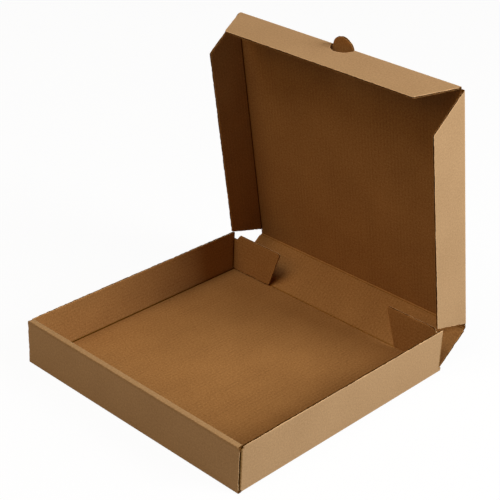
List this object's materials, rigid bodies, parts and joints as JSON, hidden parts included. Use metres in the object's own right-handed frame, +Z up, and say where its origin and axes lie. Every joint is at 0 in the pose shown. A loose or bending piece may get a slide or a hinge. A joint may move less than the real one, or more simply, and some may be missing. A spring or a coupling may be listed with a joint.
{
  "type": "pizza box",
  "caption": "Open square pizza box folded from one sheet of plain brown corrugated board, with a rolled front wall and a lid whose flaps tuck inside the tray.",
  "frame": {"origin": "middle of the tray's base, on the table", "axes": "+X across the box to the right seen from the front, +Y from the rolled front wall to the rear wall, +Z up"},
  "size_m": [0.24, 0.2742, 0.2606],
  "materials": {
    "kraft_board": "uncoated brown kraft liner over fine flutes, matt"
  },
  "bodies": {
    "tray": {"tray": "kraft_board"},
    "rear_wall": {"rear_wall": "kraft_board"},
    "lid_panel": {"lid_panel": "kraft_board"},
    "lid_front_flap": {"lid_front_flap": "kraft_board"},
    "lid_left_flap": {"lid_left_flap": "kraft_board"},
    "lid_right_flap": {"lid_right_flap": "kraft_board"},
    "left_dust_flap": {"left_dust_flap": "kraft_board"},
    "right_dust_flap": {"right_dust_flap": "kraft_board"}
  },
  "joints": [
    {"name": "rear_wall_fold", "type": "hinge", "parent": "tray", "child": "rear_wall", "pos_m": [0, 0.1192, 0.0008], "axis": [1, 0, 0], "range_deg": [-37, 53]},
    {"name": "lid_fold", "type": "hinge", "parent": "rear_wall", "child": "lid_panel", "pos_m": [0, 0.15338, 0.02656], "axis": [1, 0, 0], "range_deg": [-18.89, 27.01]},
    {"name": "lid_front_flap_fold", "type": "hinge", "parent": "lid_panel", "child": "lid_front_flap", "pos_m": [0, 0.11105, 0.25059], "axis": [1, 0, 0], "range_deg": [-86, 34]},
    {"name": "lid_left_flap_fold", "type": "hinge", "parent": "lid_panel", "child": "lid_left_flap", "pos_m": [-0.1172, 0.15338, 0.02656], "axis": [0, -0.1857, 0.9826], "range_deg": [-90, 30]},
    {"name": "lid_right_flap_fold", "type": "hinge", "parent": "lid_panel", "child": "lid_right_flap", "pos_m": [0.1172, 0.15338, 0.02656], "axis": [0, 0.1857, -0.9826], "range_deg": [-90, 30]},
    {"name": "left_dust_flap_fold", "type": "hinge", "parent": "tray", "child": "left_dust_flap", "pos_m": [-0.1192, 0.1172, 0.0008], "axis": [0, 0, 1], "range_deg": [-45, 0]},
    {"name": "right_dust_flap_fold", "type": "hinge", "parent": "tray", "child": "right_dust_flap", "pos_m": [0.1192, 0.1172, 0.0008], "axis": [0, 0, -1], "range_deg": [-45, 0]}
  ],
  "couplings": [
    {"joint": "lid_fold", "follows": "rear_wall_fold", "ratio": 0.50774}
  ]
}
